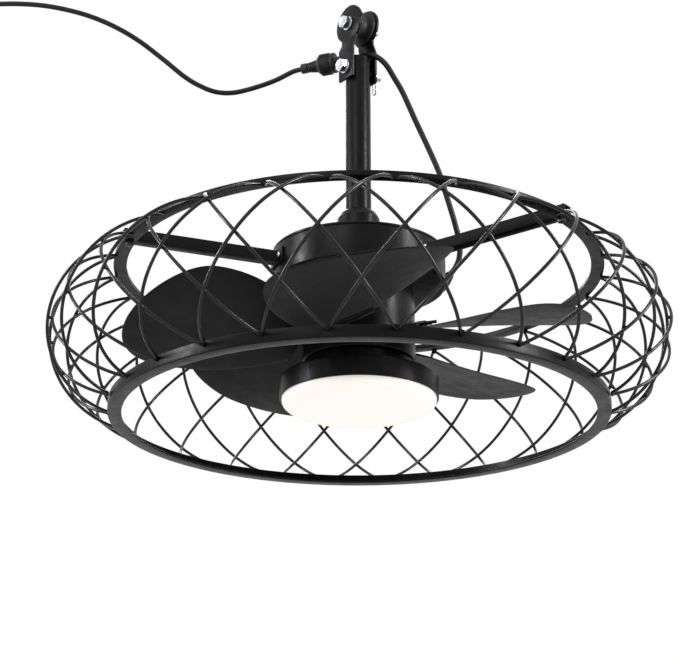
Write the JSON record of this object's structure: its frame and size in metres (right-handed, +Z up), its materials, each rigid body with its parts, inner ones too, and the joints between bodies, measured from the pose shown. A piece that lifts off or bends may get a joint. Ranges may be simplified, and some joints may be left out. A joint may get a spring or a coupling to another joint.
{
  "type": "gazebo ceiling fan",
  "caption": "Caged gazebo ceiling fan with petal blades and a round lamp under the hub, hung from a grooved sheave on a downrod, with a plug-in supply cord.",
  "frame": {"origin": "centre of the hanging sheave, on the axis of the upper hanger bolt", "axes": "+Z up along the downrod; +X along the two hanger bolts, towards their clipped ends"},
  "size_m": [0.7161, 0.645, 0.4767],
  "materials": {
    "black_paint": "satin black powder coat",
    "black_rubber": "moulded black rubber",
    "zinc": "bright zinc plate",
    "steel": "turned steel",
    "bush_brass": "plain",
    "blade_plastic": "fine matt texture",
    "connector_plastic": "moulded",
    "cord_jacket": "smooth jacket",
    "magnet": "plated",
    "copper": "enamelled wire",
    "circuit_board": "solder mask",
    "led_board": "white mask with diodes",
    "diffuser": "frosted white, lit",
    "brass_pins": "plain"
  },
  "bodies": {
    "sheave": {"hanger_sheave": "black_rubber", "sheave_bush": "bush_brass"},
    "hanger": {"upper_bolt": "zinc", "lower_bolt": "zinc", "hanger_washers": "zinc", "spring_washers": "zinc", "r_clips": "zinc", "cheek_plate_front": "black_paint", "cheek_plate_rear": "black_paint"},
    "fan_body": {"downrod": "black_paint", "coupling_cover": "black_paint", "motor_coupling": "steel", "coupling_pin": "zinc", "motor_top_cover": "black_paint", "cover_screws": "zinc", "motor_housing": "black_paint", "circuit_board": "circuit_board", "motor_shaft": "steel", "stator_core": "steel", "stator_windings": "copper", "lamp_bracket": "black_paint", "lamp_housing": "black_paint", "led_board": "led_board", "lamp_diffuser": "diffuser", "lamp_screws": "zinc", "axle_nut": "zinc", "upper_ring": "black_paint", "lower_ring": "black_paint", "rising_wires_a": "black_paint", "rising_wires_b": "black_paint", "falling_wires_a": "black_paint", "falling_wires_b": "black_paint", "arm_1": "black_paint", "arm_2": "black_paint", "arm_3": "black_paint", "arm_ring_screws": "zinc", "arm_ring_nuts": "zinc", "arm_housing_screws": "zinc", "cable_gland": "connector_plastic", "motor_lead": "cord_jacket", "lead_connector": "connector_plastic", "connector_nut": "connector_plastic", "supply_connector": "connector_plastic", "supply_cord": "cord_jacket", "supply_coil": "cord_jacket", "coil_tie": "cord_jacket", "plug_body": "cord_jacket", "plug_pins": "brass_pins"},
    "rotor": {"upper_bearing": "steel", "lower_bearing": "steel", "rotor_magnets": "magnet", "blade_hub": "black_paint", "hub_top_cover": "black_paint", "blade_1": "blade_plastic", "blade_2": "blade_plastic", "blade_3": "blade_plastic", "blade_4": "blade_plastic", "blade_5": "blade_plastic", "blade_screws": "zinc"}
  },
  "joints": [
    {"name": "hanger_swing", "type": "hinge", "parent": "sheave", "child": "hanger", "pos_m": [0, 0, 0], "axis": [1, 0, 0], "range_deg": [-20, 20]},
    {"name": "downrod_swing", "type": "hinge", "parent": "hanger", "child": "fan_body", "pos_m": [0, 0, -0.053], "axis": [1, 0, 0], "range_deg": [-12, 12]},
    {"name": "rotor_spin", "type": "hinge", "parent": "fan_body", "child": "rotor", "pos_m": [0, 0, -0.34], "axis": [0, 0, 1], "continuous": true}
  ]
}
